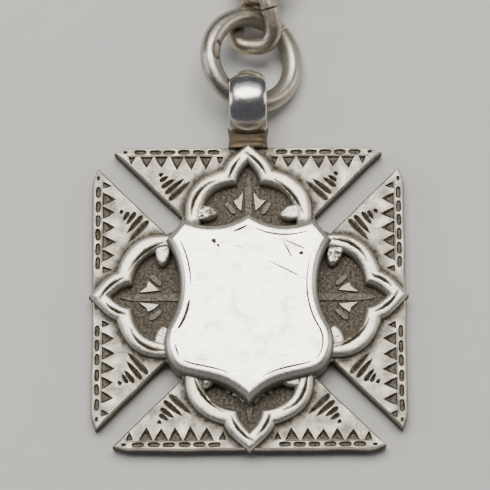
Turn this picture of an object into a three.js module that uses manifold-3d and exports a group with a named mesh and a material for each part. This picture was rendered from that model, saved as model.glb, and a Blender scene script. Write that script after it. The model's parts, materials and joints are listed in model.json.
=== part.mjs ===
// A silver fob medal on its watch chain: cross-shaped medal with a shield, bail, jump ring,
// twisted curb links and a spring-gate swivel clip. It lies on its back, face up, the chain to +Y.
// Millimetres, +Z up. The origin is the centre of the medal's flat back.

import * as THREE from 'three';
import { mergeVertices } from 'three/addons/utils/BufferGeometryUtils.js';
import Module from 'manifold-3d';

const wasm = await Module();
wasm.setup();

// ---- Driving dimensions ----

const PLATE_HALF = 14.1; // half the medal's width across flats
const PLATE_THICK = 1.7;
const SLOT_WIDTH = 2.0; // diagonal slots that part the four arms
const SLOT_INNER = 9.5; // distance from the centre to a slot's inner end
const LOBE_BASE = 0.4; // the lobe rims start this far above the back
const RIM_TOP = 2.4; // top of the raised lobe rims
const RECESS_FLOOR = 1.25;
const LOBE_PEAK = 14.35; // distance from the centre to a lobe's point

const SHIELD_TOP = 3.35;
const SHIELD_BEVEL = 0.75; // width of the sloping edge round the shield's face
const SHIELD_SLOPE = 0.9; // height of that slope

const BAIL_Y = 17.95;
const BAIL_Z = 2.9;
const BAIL_WIDTH = 3.4;
const BAIL_HALF_LENGTH = 2.95;
const BAIL_HALF_HEIGHT = 2.85;
const STRAP = 0.55; // thickness of the bail's strap
const COLLAR_HALF_WIDTH = 1.95;
const COLLAR_BOTTOM = 0.3;
const COLLAR_TOP = 3.1;
const COLLAR_WRAP = 0.7; // share of the bail's half length that the collar reaches round

const RING_WIRE = 1.85;
const RING_RADIUS = 4.1; // to the middle of the wire
const RING_TILT = 24; // degrees, left side up as it leans in the bail
const RING_CENTRE = [0.35, 22.0, 2.85];

const LINK_COUNT = 16;
const LINK_WIRE = 1.6;
const LINK_LENGTH = 6.6; // to the middle of the wire
const LINK_WIDTH = 4.2;
const LINK_TWIST = -90; // degrees from one end bend to the other
const LINK_SQUARENESS = 2.8; // 2 is an ellipse, more is boxier
const LINK_PITCH = 4.8;
const FIRST_LINK = [0.9, 26.6]; // plan position of the first link's middle
const FIRST_HEADING = 4.7; // degrees clockwise from +Y
const FIRST_ROLL = 52; // degrees, right side up
const ROLL_STEP = 12; // each next link lies this much flatter
const FLOOR_GAP = 0.03;

const EYE_WIRE = 1.3;
const EYE_LENGTH = 4.4; // the swivel eye's loop, to the middle of the wire
const EYE_WIDTH = 3.4;
const EYE_ROLL = 45;
const EYE_OVERLAP = 0.9; // the loop starts this far behind the last joint
const POST_RADIUS = 0.7;
const POST_HEAD_RADIUS = 1.3;
const POST_HEAD_LENGTH = 0.9;
const HEAD_PLAY = 0.2; // between the post's head and the clip's end wall

const CLIP_Z = 1.85; // height of the clip's middle plane
const CLIP_THICK = 3.6;
const CLIP_START = 5.0; // distances along the clip are from the last joint
const CLIP_WALL = 1.4;
const CLIP_HALF_BASE = 2.6;
const SHOULDER = [4.4, 9.8]; // where the clip's base has widened into the hook
const SIDE_START = 13.5; // the hook's sides are at full width from here
const THROAT = 10.6; // near end of the hook's inner space
const WINDOW_LENGTH = 1.8;
const WINDOW_HALF = 1.7;
const POST_BORE_RADIUS = 0.9;
const HOOK_CENTRE = 19.4; // centre of the hook's round end
const HOOK_OUTER = 5.5;
const HOOK_INNER = 3.5;
const PIVOT = [11.4, -3.6]; // gate pin: along the clip, then to its left
const KNUCKLE_RADIUS = 2.0;
const PIN_RADIUS = 0.45;
const PIN_BORE_RADIUS = 0.5;
const GATE_SLOT = 1.5;
const SLOT_PLAY = 0.25; // between the gate's eye and the slot's end
const GATE_PLAY = 0.06; // between the gate's eye, or the spring, and the slot's faces
const GATE_LEAF = 0.62; // thickness of the gate's eye beside the spring
const GATE_EYE_RADIUS = 1.75;
const GATE_HALF_WIDTH = 0.9; // of the tongue and the arm's root
const GATE_THICK = 2.6;
const GATE_REACH = 8.9; // pin to the gate's free end
const NOSE_REACH = 9.15; // pin to the hook's nose
const SPRING_BORE = 0.6;
const SPRING_RADIUS = 1.2;

const ROUND = 20; // facets round pins and bores
const WIRE_SIDES = 8;
const LINK_STEPS = 28;
const RING_SIDES = 10;
const RING_STEPS = 36;
const CURVE_STEPS = 5;

// ---- Solids ----

function toSolid(geometry) {
  const bare = geometry.clone();
  bare.deleteAttribute('normal');
  bare.deleteAttribute('uv');
  const merged = mergeVertices(bare, 1e-5);
  return new wasm.Manifold(new wasm.Mesh({
    numProp: 3,
    vertProperties: new Float32Array(merged.attributes.position.array),
    triVerts: new Uint32Array(merged.index.array),
  }));
}

function toGeometry(solid) {
  const mesh = solid.getMesh();
  const geometry = new THREE.BufferGeometry();
  geometry.setAttribute('position', new THREE.BufferAttribute(mesh.vertProperties, 3));
  geometry.setIndex(new THREE.BufferAttribute(mesh.triVerts, 1));
  return geometry;
}

function plate(shape, bottom, top, steps = CURVE_STEPS) {
  const geometry = new THREE.ExtrudeGeometry(shape, {
    depth: top - bottom,
    bevelEnabled: false,
    curveSegments: steps,
  });
  return toSolid(geometry.translate(0, 0, bottom));
}

function box(x0, x1, y0, y1, z0, z1) {
  const geometry = new THREE.BoxGeometry(x1 - x0, y1 - y0, z1 - z0);
  return toSolid(geometry.translate((x0 + x1) / 2, (y0 + y1) / 2, (z0 + z1) / 2));
}

// A cylinder along Y (the way the clip points) or Z.
function rod(radius, x, y, z, length, along = 'z') {
  const geometry = new THREE.CylinderGeometry(radius, radius, length, ROUND);
  if (along === 'z') geometry.rotateX(Math.PI / 2);
  return toSolid(geometry.translate(x, y, z));
}

// Round wire bent into a closed loop along a curve.
function wireLoop(curve, radius, sides, steps) {
  const frames = curve.computeFrenetFrames(steps, true);
  const positions = [];
  const indices = [];
  for (let i = 0; i < steps; i += 1) {
    const centre = curve.getPointAt(i / steps);
    for (let j = 0; j < sides; j += 1) {
      const angle = (j / sides) * 2 * Math.PI;
      const point = centre.clone()
        .addScaledVector(frames.normals[i], radius * Math.cos(angle))
        .addScaledVector(frames.binormals[i], radius * Math.sin(angle));
      positions.push(point.x, point.y, point.z);
      const across = (j + 1) % sides;
      const next = (i + 1) % steps;
      const corners = [i * sides + j, i * sides + across, next * sides + across, next * sides + j];
      indices.push(corners[0], corners[1], corners[2], corners[0], corners[2], corners[3]);
    }
  }
  const geometry = new THREE.BufferGeometry();
  geometry.setAttribute('position', new THREE.Float32BufferAttribute(positions, 3));
  geometry.setIndex(indices);
  return geometry;
}

// The middle line of a link: a boxy oval along Y, twisted about Y from end to end.
class TwistedOval extends THREE.Curve {
  constructor(length, width, twist, squareness) {
    super();
    this.length = length;
    this.width = width;
    this.twist = THREE.MathUtils.degToRad(twist);
    this.power = 2 / squareness;
    this.arcLengthDivisions = 400;
  }

  getPoint(t, target = new THREE.Vector3()) {
    const across = Math.cos(t * 2 * Math.PI);
    const along = Math.sin(t * 2 * Math.PI);
    const x = (this.width / 2) * Math.sign(across) * Math.abs(across) ** this.power;
    const y = (this.length / 2) * Math.sign(along) * Math.abs(along) ** this.power;
    const turn = this.twist * (y / this.length);
    return target.set(x * Math.cos(turn), y, -x * Math.sin(turn));
  }
}

// ---- Medal ----

function squareShape(half) {
  const shape = new THREE.Shape();
  shape.moveTo(-half, -half);
  shape.lineTo(half, -half);
  shape.lineTo(half, half);
  shape.lineTo(-half, half);
  return shape;
}

// One pointed lobe, reaching out along +Y: round shoulders, a notch and an ogee point.
function lobeShape({ foot, shoulder, cheek, notch, waist, peak }) {
  const shape = new THREE.Shape();
  shape.moveTo(-foot[0], foot[1]);
  shape.lineTo(foot[0], foot[1]);
  shape.bezierCurveTo(shoulder[0], shoulder[1], cheek[0], cheek[1], notch[0], notch[1]);
  shape.quadraticCurveTo(waist[0], waist[1], 0, peak);
  shape.quadraticCurveTo(-waist[0], waist[1], -notch[0], notch[1]);
  shape.bezierCurveTo(-cheek[0], cheek[1], -shoulder[0], shoulder[1], -foot[0], foot[1]);
  return shape;
}

const lobeOutline = lobeShape({
  foot: [5.6, 7.9],
  shoulder: [6.1, 10.2],
  cheek: [4.2, 11.9],
  notch: [2.1, 11.66],
  waist: [1.6, 13.2],
  peak: LOBE_PEAK,
});

const recessOutline = lobeShape({
  foot: [4.7, 6.2],
  shoulder: [4.6, 9.4],
  cheek: [3.4, 10.9],
  notch: [1.4, 10.5],
  waist: [1.0, 11.5],
  peak: 12.4,
});

function crossPlate() {
  let solid = plate(squareShape(PLATE_HALF), 0, PLATE_THICK);
  const slotOuter = PLATE_HALF * Math.SQRT2 + 1;
  for (let quarter = 0; quarter < 4; quarter += 1) {
    const turn = quarter * 90;
    const slot = box(SLOT_INNER, slotOuter, -SLOT_WIDTH / 2, SLOT_WIDTH / 2, -1, RIM_TOP + 1);
    const rim = plate(lobeOutline, LOBE_BASE, RIM_TOP);
    const recess = plate(recessOutline, RECESS_FLOOR, RIM_TOP + 1);
    solid = solid.subtract(slot.rotate([0, 0, turn + 45]));
    solid = solid.add(rim.rotate([0, 0, turn]));
    solid = solid.subtract(recess.rotate([0, 0, turn]));
  }
  return solid;
}

function shieldOutline() {
  const shape = new THREE.Shape();
  const right = [
    [0, 7.45],
    [0.9, 6.7, 3.0, 5.5, 5.9, 6.9],
    [7.5, 4.9],
    [6.5, 3.9, 5.3, 0.2, 7.15, -2.8],
    [8.2, -4.6, 7.0, -6.9, 6.0, -7.3],
    [4.6, -8.1, 2.2, -7.5, 0, -10.1],
  ];
  shape.moveTo(...right[0]);
  for (const step of right.slice(1)) {
    if (step.length === 2) shape.lineTo(...step);
    else shape.bezierCurveTo(...step);
  }
  // The left half is the same outline walked back with x changed in sign.
  for (let i = right.length - 1; i > 0; i -= 1) {
    const step = right[i];
    const end = right[i - 1].slice(-2);
    if (step.length === 2) shape.lineTo(-end[0], end[1]);
    else shape.bezierCurveTo(-step[2], step[3], -step[0], step[1], -end[0], end[1]);
  }
  return shape;
}

function shieldCartouche() {
  const waist = SHIELD_TOP - SHIELD_SLOPE;
  const geometry = new THREE.ExtrudeGeometry(shieldOutline(), {
    depth: 2 * (waist - PLATE_THICK),
    bevelEnabled: true,
    bevelThickness: SHIELD_SLOPE,
    bevelSize: SHIELD_BEVEL,
    bevelOffset: -SHIELD_BEVEL,
    bevelSegments: 1,
    curveSegments: CURVE_STEPS,
  });
  geometry.translate(0, 0, 2 * PLATE_THICK - waist);
  const upper = box(-20, 20, -20, 20, PLATE_THICK, 10);
  return toSolid(geometry).intersect(upper);
}

// ---- Bail and its collar ----

// An oval in the YZ plane, extruded along X.
function ovalAlongX(halfLength, halfHeight, width) {
  const shape = new THREE.Shape();
  shape.absellipse(0, 0, halfLength, halfHeight, 0, 2 * Math.PI);
  const geometry = new THREE.ExtrudeGeometry(shape, {
    depth: width,
    bevelEnabled: false,
    curveSegments: 14,
  });
  geometry.translate(0, 0, -width / 2);
  geometry.rotateX(Math.PI / 2).rotateZ(Math.PI / 2);
  return toSolid(geometry.translate(0, BAIL_Y, BAIL_Z));
}

function bailOuter() {
  return ovalAlongX(BAIL_HALF_LENGTH, BAIL_HALF_HEIGHT, BAIL_WIDTH);
}

function bail() {
  const eye = ovalAlongX(BAIL_HALF_LENGTH - STRAP, BAIL_HALF_HEIGHT - STRAP, BAIL_WIDTH + 2);
  return bailOuter().subtract(eye);
}

function bailCollar() {
  const reach = BAIL_Y - BAIL_HALF_LENGTH * COLLAR_WRAP;
  const block = box(-COLLAR_HALF_WIDTH, COLLAR_HALF_WIDTH, PLATE_HALF, reach, COLLAR_BOTTOM, COLLAR_TOP);
  const bailBed = ovalAlongX(BAIL_HALF_LENGTH, BAIL_HALF_HEIGHT, 2 * COLLAR_HALF_WIDTH + 2);
  return block.subtract(crossPlate()).subtract(bailBed);
}

// ---- Jump ring and links ----

function jumpRing() {
  const ring = new THREE.TorusGeometry(RING_RADIUS, RING_WIRE / 2, RING_SIDES, RING_STEPS);
  return toSolid(ring);
}

const linkCurve = new TwistedOval(LINK_LENGTH, LINK_WIDTH, LINK_TWIST, LINK_SQUARENESS);

// How far a link reaches below its own middle when it is rolled about its length.
function linkDepth(roll) {
  const turn = THREE.MathUtils.degToRad(roll);
  let lowest = 0;
  for (let i = 0; i < 200; i += 1) {
    const point = linkCurve.getPoint(i / 200);
    lowest = Math.min(lowest, point.z * Math.cos(turn) - point.x * Math.sin(turn));
  }
  return LINK_WIRE / 2 - lowest;
}

function linkRoll(number) {
  return -Math.max(0, FIRST_ROLL - ROLL_STEP * number);
}

const LINK_BEND = (90 - FIRST_HEADING) / LINK_COUNT; // the chain turns to run along +X

function headingOf(number) {
  const heading = THREE.MathUtils.degToRad(FIRST_HEADING + LINK_BEND * number);
  return new THREE.Vector3(Math.sin(heading), Math.cos(heading), 0);
}

// The points where one link hangs on the next, from the jump ring to the swivel eye.
function chainJoints() {
  const start = new THREE.Vector3(...FIRST_LINK, 0).addScaledVector(headingOf(0), -LINK_PITCH / 2);
  const joints = [start];
  for (let i = 0; i < LINK_COUNT; i += 1) {
    joints.push(joints[i].clone().addScaledVector(headingOf(i), LINK_PITCH));
  }
  for (let i = 0; i <= LINK_COUNT; i += 1) {
    const before = linkDepth(linkRoll(Math.max(0, i - 1)));
    joints[i].z = before + FLOOR_GAP;
  }
  return joints;
}

const joints = chainJoints();

function placeLink(mesh, number) {
  const start = joints[number];
  const end = joints[number + 1];
  const along = end.clone().sub(start).normalize();
  const yaw = -Math.atan2(along.x, along.y);
  const pitch = Math.asin(along.z);
  const roll = THREE.MathUtils.degToRad(linkRoll(number));
  mesh.position.copy(start).add(end).multiplyScalar(0.5);
  mesh.rotation.set(pitch, roll, yaw, 'ZXY');
}

// ---- Swivel clip, drawn pointing along +Y from the last joint, X to its right ----

function swivelEye() {
  const loopCurve = new TwistedOval(EYE_LENGTH, EYE_WIDTH, 0, 2.3);
  const loop = wireLoop(loopCurve, EYE_WIRE / 2, WIRE_SIDES, 24);
  loop.rotateY(THREE.MathUtils.degToRad(EYE_ROLL));
  const middle = EYE_LENGTH / 2 - EYE_OVERLAP;
  loop.translate(0, middle, 0);
  const postStart = middle + EYE_LENGTH / 2;
  const headStart = CLIP_START + CLIP_WALL + HEAD_PLAY;
  const postLength = headStart - postStart + 0.1;
  const post = rod(POST_RADIUS, 0, postStart + postLength / 2, 0, postLength, 'y');
  const head = rod(POST_HEAD_RADIUS, 0, headStart + POST_HEAD_LENGTH / 2, 0, POST_HEAD_LENGTH, 'y');
  return toSolid(loop).add(post).add(head);
}

// The hook seen from above: x to the right of the clip, y along it.
function hookShape() {
  const shape = new THREE.Shape();
  const base = CLIP_START + CLIP_WALL + WINDOW_LENGTH;
  shape.moveTo(-CLIP_HALF_BASE, CLIP_START);
  shape.lineTo(CLIP_HALF_BASE, CLIP_START);
  shape.lineTo(CLIP_HALF_BASE, base);
  shape.lineTo(...SHOULDER);
  shape.lineTo(HOOK_OUTER, SIDE_START);
  shape.lineTo(HOOK_OUTER, HOOK_CENTRE);
  shape.absarc(0, HOOK_CENTRE, HOOK_OUTER, 0, Math.PI, false);
  shape.lineTo(-HOOK_OUTER, HOOK_CENTRE - 2);
  shape.bezierCurveTo(-HOOK_OUTER, SIDE_START, -SHOULDER[0], 11.0, -CLIP_HALF_BASE, base);
  const space = new THREE.Path();
  space.absarc(0, HOOK_CENTRE, HOOK_INNER, 0, Math.PI, false);
  space.bezierCurveTo(-HOOK_INNER, 16, -3.0, 13.0, -1.2, THROAT);
  space.lineTo(1.6, THROAT);
  space.lineTo(2.6, 13.2);
  space.lineTo(HOOK_INNER, HOOK_CENTRE);
  shape.holes.push(space);
  const window = new THREE.Path();
  window.moveTo(-WINDOW_HALF, CLIP_START + CLIP_WALL);
  window.lineTo(WINDOW_HALF, CLIP_START + CLIP_WALL);
  window.lineTo(WINDOW_HALF, base);
  window.lineTo(-WINDOW_HALF, base);
  shape.holes.push(window);
  return shape;
}

// The wedge that the gate fills, between the knuckle and the hook's nose.
function gateOpening() {
  const shape = new THREE.Shape();
  const [px, py] = [-PIVOT[1], PIVOT[0]];
  shape.moveTo(px - 2.2, py + 0.5);
  shape.lineTo(px + 4, py + 0.5);
  shape.lineTo(px + 4, py + 7);
  shape.absarc(px, py, NOSE_REACH, 1.0, 1.95, false);
  shape.lineTo(px - 2.2, py + 7);
  return shape;
}

function clipBody() {
  const half = CLIP_THICK / 2;
  const [px, py] = [-PIVOT[1], PIVOT[0]];
  const disc = (radius, length) => rod(radius, px, py, 0, length);
  let solid = plate(hookShape(), -half, half, 8);
  solid = solid.subtract(plate(gateOpening(), -half - 1, half + 1, 6));
  solid = solid.add(disc(KNUCKLE_RADIUS, CLIP_THICK));
  const slotReach = KNUCKLE_RADIUS + SLOT_PLAY;
  solid = solid.subtract(rod(slotReach, px, py, 0, GATE_SLOT));
  solid = solid.subtract(box(px - slotReach, px + 4, py, py + 4, -GATE_SLOT / 2, GATE_SLOT / 2));
  solid = solid.subtract(disc(PIN_BORE_RADIUS, CLIP_THICK + 2));
  const boreLength = CLIP_WALL + 1;
  const bore = rod(POST_BORE_RADIUS, 0, CLIP_START + CLIP_WALL / 2, 0, boreLength, 'y');
  return solid.subtract(bore);
}

// The gate swings about the pin; its arm fills the hook's side and carries a thumb tab.
function clipGate() {
  const [px, py] = [-PIVOT[1], PIVOT[0]];
  const bottom = -GATE_SLOT / 2 + GATE_PLAY;
  const eye = rod(GATE_EYE_RADIUS, px, py, bottom + GATE_LEAF / 2, GATE_LEAF);
  const tongueTop = bottom + GATE_LEAF;
  const tongue = box(px - GATE_HALF_WIDTH, px + GATE_HALF_WIDTH, py, py + 3.0, bottom, tongueTop);
  const arm = new THREE.Shape();
  arm.moveTo(px - GATE_HALF_WIDTH, py + 2.5);
  arm.lineTo(px + GATE_HALF_WIDTH, py + 2.5);
  arm.lineTo(px + 2.3, py + 3.0);
  arm.lineTo(px + 2.3, py + 4.6);
  arm.lineTo(px + 1.2, py + 5.1);
  arm.lineTo(px + 1.2, py + GATE_REACH - 0.3);
  arm.lineTo(px, py + GATE_REACH);
  arm.lineTo(px - 0.6, py + GATE_REACH - 0.1);
  const armSolid = plate(arm, -GATE_THICK / 2, GATE_THICK / 2);
  return eye.add(tongue).add(armSolid).subtract(rod(PIN_BORE_RADIUS, px, py, 0, CLIP_THICK));
}

function gatePin() {
  return rod(PIN_RADIUS, -PIVOT[1], PIVOT[0], 0, CLIP_THICK);
}

// The torsion spring's coil as one sleeve round the pin, above the gate's eye.
function gateSpring() {
  const top = GATE_SLOT / 2 - GATE_PLAY;
  const bottom = GATE_LEAF + 3 * GATE_PLAY - GATE_SLOT / 2;
  const profile = [
    new THREE.Vector2(SPRING_BORE, bottom),
    new THREE.Vector2(SPRING_RADIUS, bottom),
    new THREE.Vector2(SPRING_RADIUS, top),
    new THREE.Vector2(SPRING_BORE, top),
    new THREE.Vector2(SPRING_BORE, bottom),
  ];
  const sleeve = new THREE.LatheGeometry(profile, ROUND).rotateX(Math.PI / 2);
  return toSolid(sleeve.translate(-PIVOT[1], PIVOT[0], 0));
}

// ---- Materials ----

function silver(color, roughness) {
  return new THREE.MeshStandardMaterial({ color, roughness, metalness: 1.0 });
}

const finishes = {
  satin: () => silver(0xcfccc2, 0.35),
  polished: () => silver(0xdcdad4, 0.15),
  tarnished: () => silver(0x6f6455, 0.5),
  worn: () => silver(0xb8b0a2, 0.3),
  steel: () => silver(0xa9abae, 0.3),
};

// ---- Assembly ----

const group = new THREE.Group();

function add(parent, name, solid, finish) {
  const geometry = toGeometry(solid);
  geometry.computeVertexNormals();
  const mesh = new THREE.Mesh(geometry, finishes[finish]());
  mesh.name = name;
  parent.add(mesh);
  return mesh;
}

add(group, 'cross_plate', crossPlate(), 'satin');
add(group, 'shield_cartouche', shieldCartouche(), 'polished');
add(group, 'bail', bail(), 'polished');
add(group, 'bail_collar', bailCollar(), 'tarnished');

const ring = add(group, 'jump_ring', jumpRing(), 'polished');
ring.position.set(...RING_CENTRE);
ring.rotation.set(0, THREE.MathUtils.degToRad(RING_TILT), 0);

const linkSolid = toSolid(wireLoop(linkCurve, LINK_WIRE / 2, WIRE_SIDES, LINK_STEPS));
for (let i = 0; i < LINK_COUNT; i += 1) {
  const name = `link_${String(i + 1).padStart(2, '0')}`;
  placeLink(add(group, name, linkSolid, 'worn'), i);
}

const clip = new THREE.Group();
const lastJoint = joints[LINK_COUNT];
clip.position.set(lastJoint.x, lastJoint.y, CLIP_Z);
clip.rotation.set(0, 0, -Math.PI / 2);
group.add(clip);
add(clip, 'swivel_eye', swivelEye(), 'worn');
add(clip, 'clip_body', clipBody(), 'satin');
add(clip, 'clip_gate', clipGate(), 'satin');
add(clip, 'gate_pin', gatePin(), 'steel');
add(clip, 'gate_spring', gateSpring(), 'steel');

export default group;
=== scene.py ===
import json
import math
import random

import bmesh
import bpy
from mathutils import Matrix, Vector, noise
from mathutils.geometry import delaunay_2d_cdt


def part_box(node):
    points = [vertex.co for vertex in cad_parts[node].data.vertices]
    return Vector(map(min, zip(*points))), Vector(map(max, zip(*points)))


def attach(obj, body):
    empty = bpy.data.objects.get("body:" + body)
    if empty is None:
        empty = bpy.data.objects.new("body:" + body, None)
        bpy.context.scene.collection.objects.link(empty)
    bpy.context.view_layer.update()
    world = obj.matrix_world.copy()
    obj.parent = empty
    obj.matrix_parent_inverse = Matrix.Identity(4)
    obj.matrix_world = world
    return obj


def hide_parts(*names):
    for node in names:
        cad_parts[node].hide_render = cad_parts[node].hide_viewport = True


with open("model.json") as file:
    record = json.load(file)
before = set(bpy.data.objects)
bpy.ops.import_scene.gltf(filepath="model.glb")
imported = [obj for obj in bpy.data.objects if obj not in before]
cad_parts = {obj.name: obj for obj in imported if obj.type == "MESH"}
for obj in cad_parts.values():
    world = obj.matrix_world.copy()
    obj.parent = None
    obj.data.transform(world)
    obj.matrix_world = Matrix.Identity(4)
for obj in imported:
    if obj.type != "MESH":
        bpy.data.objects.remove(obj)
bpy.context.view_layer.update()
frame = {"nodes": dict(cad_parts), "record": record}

# Lengths are in millimetres until to_mesh() turns them into metres.
MM = 0.001
joints = {joint["name"]: joint for joint in frame["record"]["behaviour"]["joints"]}


def joint_at(name):
    return Vector(joints[name]["pos_m"]) / MM


def box_mm(node):
    low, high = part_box(node)
    return Vector(low) / MM, Vector(high) / MM


# ---- Driving dimensions, as in the CAD where it has them ----

MEDAL_HIGH = box_mm("cross_plate")[1]
PEAK = MEDAL_HIGH.y  # the lobes' points
PLATE_HALF = PEAK - 0.25
PLATE_TOP = 1.7
PLATE_EDGE = 0.22  # width of the worn bevel round the arms
SLOT_WIDTH = 2.0
SLOT_INNER = 9.5
RIM_TOP = MEDAL_HIGH.z
RECESS_FLOOR = 1.2
SHIELD_TOP = box_mm("shield_cartouche")[1].z
FACE_INSET = 0.76  # from the shield's outline to its flat face

BAIL_LOW, BAIL_HIGH = box_mm("bail")
STRAP = 0.58
STRAP_INNER = 0.49  # from the bail's outside to its inside, less than the CAD's to clear the ring
RING_WIRE = 1.85
RING_RADIUS = 4.1
RING_TILT = math.radians(24)
LINK_WIRE = 1.6
LINK_LENGTH = 6.6
LINK_WIDTH = 4.2
LINK_TWIST = math.radians(-90)
LINK_SQUARENESS = 2.8
EYE_WIRE = 1.3
EYE_LENGTH = 4.4
EYE_WIDTH = 3.4
EYE_SQUARENESS = 2.3

# ---- Small helpers ----


def smooth(low, high, x):
    t = min(1.0, max(0.0, (x - low) / (high - low)))
    return t * t * (3 - 2 * t)


def boxy(value, power):
    """A sine or cosine bent by a power, its sign kept: it squares off a circle."""
    return math.copysign(abs(value) ** power, value)


def circle(count):
    """count angles, evenly round a full turn."""
    return [2 * math.pi * i / count for i in range(count)]


def vectors(pairs):
    return [Vector(pair) for pair in pairs]


def bezier(points, count):
    """count points on a Bezier curve of any degree, without its last point."""
    result = []
    for i in range(count):
        t = i / count
        level = vectors(points)
        while len(level) > 1:
            level = [a.lerp(b, t) for a, b in zip(level, level[1:])]
        result.append(level[0])
    return result


def turned(points, degrees):
    turn = Matrix.Rotation(math.radians(degrees), 2)
    return [turn @ Vector(p) for p in points]


SHARP_TURN = 0.4  # sine of the smallest turn that counts as a corner


def inset(loop, distance):
    """An anticlockwise loop moved inwards, with mitred corners that no neighbour crosses."""
    count = len(loop)
    ways = [(loop[(i + 1) % count] - here).normalized() for i, here in enumerate(loop)]
    moved = []
    for i, here in enumerate(loop):
        into, out = ways[i - 1], ways[i]
        mitre = Vector((-into.y - out.y, into.x + out.x)) / max(0.45, 1 + into.dot(out))
        moved.append(here + mitre * distance)
    for i, here in enumerate(loop if distance > 0 else ()):
        if ways[i - 1].cross(ways[i]) < SHARP_TURN:
            continue
        for step, way in ((-1, -ways[i - 1]), (1, ways[i])):
            for away in (1, 2, 3, 4):
                k = (i + step * away) % count
                near = (loop[k] - here).length < 2.5 * distance
                if near and (moved[k] - moved[i]).dot(way) < 0:
                    moved[k] = moved[i].copy()
    return moved


def inside(point, loop):
    """Whether a 2-D point is inside a closed loop."""
    x, y = point
    odd = False
    for i, a in enumerate(loop):
        b = loop[i - 1]
        if (a[1] > y) != (b[1] > y) and x < (b[0] - a[0]) * (y - a[1]) / (b[1] - a[1]) + a[0]:
            odd = not odd
    return odd


# ---- Building meshes ----


class Shape:
    """Vertices, faces and a darkness for each face corner (1 is dark): real tarnish, and in places painted
    shade.
    """

    def __init__(self):
        self.verts = []
        self.faces = []
        self.patina_and_shade = []

    def add_face(self, face, patina_and_shade=None):
        self.faces.append(tuple(face))
        self.patina_and_shade.extend(patina_and_shade if patina_and_shade else [0.0] * len(face))

    def add_points(self, points):
        start = len(self.verts)
        self.verts.extend(points)
        return list(range(start, len(self.verts)))

    def add_loop(self, points, z):
        return self.add_points(Vector((p[0], p[1], z)) for p in points)

    def skin(self, rings, dark, closed=False, capped=True):
        """Quads between rings of vertex numbers. dark has a darkness, tarnish or painted shade, for each
        vertex of each ring.
        """
        count = len(rings)
        for i in range(count if closed else count - 1):
            k = (i + 1) % count
            for j in range(len(rings[i])):
                m = (j + 1) % len(rings[i])
                corners = ((i, j), (k, j), (k, m), (i, m))
                self.add_face([rings[a][b] for a, b in corners], [dark[a][b] for a, b in corners])
        if capped and not closed:
            self.add_face(rings[0][::-1])
            self.add_face(rings[-1])

    def join(self, other, matrix=None):
        start = len(self.verts)
        self.verts.extend(matrix @ v if matrix else v for v in other.verts)
        for face in other.faces:
            self.faces.append(tuple(i + start for i in face))
        self.patina_and_shade.extend(other.patina_and_shade)
        return self


def extent(loop):
    """The lowest and highest corners of the box round a 2-D loop."""
    return Vector(map(min, zip(*loop))), Vector(map(max, zip(*loop)))


class Cut:
    """A sunk shape in a flat face: its outline on the surface and a floor below it."""

    def __init__(self, outline, floor, depth, closed_floor, floor_patina=1.0, edge_patina=0.5):
        self.outline = vectors(outline)
        self.floor = vectors(floor)
        self.depth = depth
        self.closed_floor = closed_floor
        self.floor_patina = floor_patina
        self.edge_patina = edge_patina
        self.low, self.high = extent(self.outline)

    def near(self, point, margin):
        within_x = self.low.x - margin < point.x < self.high.x + margin
        return within_x and self.low.y - margin < point.y < self.high.y + margin

    def turned(self, degrees):
        outline, floor = turned(self.outline, degrees), turned(self.floor, degrees)
        return Cut(outline, floor, self.depth, self.closed_floor, self.floor_patina, self.edge_patina)


GRID = 0.42  # spacing of the points that carry a face's stains and painted shade


def grid_points(loop, cuts):
    """Points spread over a face, clear of its cuts, so that its stains and painted shade can fade smoothly.
    """
    low, high = extent(loop)
    points = []
    rows, columns = int((high.y - low.y) / GRID), int((high.x - low.x) / GRID)
    for row in range(1, rows):
        for column in range(1, columns):
            point = low + Vector((column + 0.5 * (row % 2), row)) * GRID
            cut_away = any(cut.near(point, 0.06) and inside(point, cut.outline) for cut in cuts)
            if inside(point, loop) and not cut_away:
                points.append(point)
    return points


def fill_cap(shape, loops, rings, z, cuts, stain=None):
    """A flat face between loops (the first is the outside), with engraved cuts in it."""
    coords, numbers, edges = [], [], []

    def add_chain(points, ids, closed):
        start = len(coords)
        coords.extend(vectors(points))
        numbers.extend(ids)
        count = len(points)
        for i in range(count if closed else count - 1):
            edges.append((start + i, start + (i + 1) % count))

    for loop, ring in zip(loops, rings):
        add_chain(loop, ring, True)
    floor_patina, edge_patina = {}, {}
    for cut in cuts:
        outline_ids = shape.add_loop(cut.outline, z)
        floor = shape.add_loop(cut.floor, z - cut.depth)
        floor_patina.update((i, cut.floor_patina) for i in floor)
        edge_patina.update((i, cut.edge_patina) for i in outline_ids)
        add_chain(cut.outline, outline_ids, True)
        add_chain(cut.floor, floor, cut.closed_floor)
    if stain:
        spread = grid_points(loops[0], cuts)
        coords.extend(spread)
        numbers.extend(shape.add_loop(spread, z))
    found, _, faces, origins, _, _ = delaunay_2d_cdt(coords, edges, [], 1, 1e-6)
    ids = []
    for point, origin in zip(found, origins):
        if origin:
            ids.append(numbers[origin[0]])
        else:
            ids.append(len(shape.verts))
            shape.verts.append(Vector((point.x, point.y, z)))
    # stain gives each point its tarnish and, on the plate, painted shade along the rims.
    stain_and_shade_values = [stain(point) if stain else 0.0 for point in found]
    for face in faces:
        middle = sum((found[i] for i in face), Vector((0, 0))) / len(face)
        if not inside(middle, loops[0]) or any(inside(middle, hole) for hole in loops[1:]):
            continue
        if any(ids[i] in floor_patina for i in face):
            dark = [floor_patina.get(ids[i], edge_patina.get(ids[i], 0.5)) for i in face]
        else:
            dark = [stain_and_shade_values[i] for i in face]
        shape.add_face([ids[i] for i in face], dark)


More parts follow.
